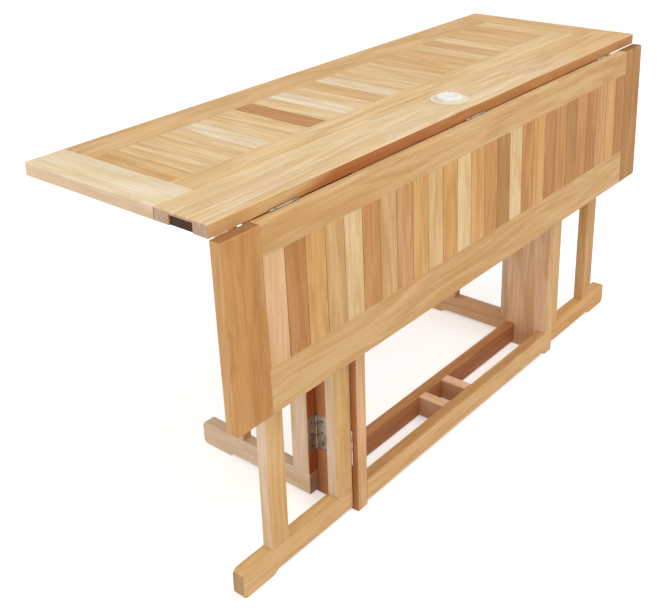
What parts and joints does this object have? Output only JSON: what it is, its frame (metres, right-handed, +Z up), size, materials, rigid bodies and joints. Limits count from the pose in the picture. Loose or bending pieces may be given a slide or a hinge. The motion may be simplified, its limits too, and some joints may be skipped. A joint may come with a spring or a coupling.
{
  "type": "butterfly folding table",
  "caption": "Drop-leaf butterfly table: slatted leaves hinged to a centre board fold down beside a trestle frame, and gates that swing out of the frame hold them up.",
  "frame": {"origin": "on the floor, on the parasol pole's axis: the centre of the standing frame", "axes": "+X along the table's length to its right end, +Y across it to the raised back leaf, +Z up"},
  "size_m": [1.47, 0.4954, 0.7535],
  "materials": {
    "board_teak": "satin",
    "leaf_rail_teak": "satin",
    "slat_teak": "satin",
    "frame_teak": "satin",
    "gate_teak": "satin",
    "bearer_hardwood": "matte",
    "hinge_steel": "satin",
    "parasol_ring": "satin",
    "parasol_cap": "satin"
  },
  "bodies": {
    "centre_frame": {"centre_board": "board_teak", "left_board_bearer": "bearer_hardwood", "right_board_bearer": "bearer_hardwood", "left_end_plank": "frame_teak", "right_end_plank": "frame_teak", "front_top_rail": "frame_teak", "back_top_rail": "frame_teak", "front_lower_rail": "frame_teak", "back_lower_rail": "frame_teak", "left_pole_block": "frame_teak", "right_pole_block": "frame_teak", "left_plank_hinges": "hinge_steel", "right_plank_hinges": "hinge_steel", "front_seam_hinges": "hinge_steel", "back_seam_hinges": "hinge_steel", "parasol_ring": "parasol_ring"},
    "front_leaf": {"front_leaf_left_end_rail": "leaf_rail_teak", "front_leaf_right_end_rail": "leaf_rail_teak", "front_leaf_inner_rail": "leaf_rail_teak", "front_leaf_outer_rail": "leaf_rail_teak", "front_leaf_slats": "slat_teak", "front_leaf_hinge_plates": "hinge_steel"},
    "back_leaf": {"back_leaf_left_end_rail": "leaf_rail_teak", "back_leaf_right_end_rail": "leaf_rail_teak", "back_leaf_inner_rail": "leaf_rail_teak", "back_leaf_outer_rail": "leaf_rail_teak", "back_leaf_slats": "slat_teak", "back_leaf_hinge_plates": "hinge_steel"},
    "front_left_gate": {"front_left_gate_post": "gate_teak", "front_left_gate_leg": "gate_teak", "front_left_gate_foot": "gate_teak", "front_left_gate_top_rail": "gate_teak", "front_left_gate_hinge_plates": "hinge_steel"},
    "front_right_gate": {"front_right_gate_post": "gate_teak", "front_right_gate_leg": "gate_teak", "front_right_gate_foot": "gate_teak", "front_right_gate_top_rail": "gate_teak", "front_right_gate_hinge_plates": "hinge_steel"},
    "back_left_gate": {"back_left_gate_post": "gate_teak", "back_left_gate_leg": "gate_teak", "back_left_gate_foot": "gate_teak", "back_left_gate_top_rail": "gate_teak", "back_left_gate_hinge_plates": "hinge_steel"},
    "back_right_gate": {"back_right_gate_post": "gate_teak", "back_right_gate_leg": "gate_teak", "back_right_gate_foot": "gate_teak", "back_right_gate_top_rail": "gate_teak", "back_right_gate_hinge_plates": "hinge_steel"},
    "parasol_cap": {"parasol_cap": "parasol_cap"}
  },
  "joints": [
    {"name": "front_leaf_hinge", "type": "hinge", "parent": "centre_frame", "child": "front_leaf", "pos_m": [0, -0.061, 0.7205], "axis": [-1, 0, 0], "range_deg": [0, 93]},
    {"name": "back_leaf_hinge", "type": "hinge", "parent": "centre_frame", "child": "back_leaf", "pos_m": [0, 0.061, 0.7205], "axis": [1, 0, 0], "range_deg": [0, 4]},
    {"name": "front_left_gate_hinge", "type": "hinge", "parent": "centre_frame", "child": "front_left_gate", "pos_m": [-0.393, -0.045, 0.36], "axis": [0, 0, 1], "range_deg": [0, 3.5]},
    {"name": "front_right_gate_hinge", "type": "hinge", "parent": "centre_frame", "child": "front_right_gate", "pos_m": [0.393, -0.045, 0.36], "axis": [0, 0, -1], "range_deg": [0, 3.5]},
    {"name": "back_left_gate_hinge", "type": "hinge", "parent": "centre_frame", "child": "back_left_gate", "pos_m": [-0.393, 0.045, 0.36], "axis": [0, 0, 1], "range_deg": [0, 90]},
    {"name": "back_right_gate_hinge", "type": "hinge", "parent": "centre_frame", "child": "back_right_gate", "pos_m": [0.393, 0.045, 0.36], "axis": [0, 0, -1], "range_deg": [0, 90]},
    {"name": "parasol_cap_lift", "type": "slide", "parent": "centre_frame", "child": "parasol_cap", "axis": [0, 0, 1], "range_m": [0, 0.05]}
  ]
}
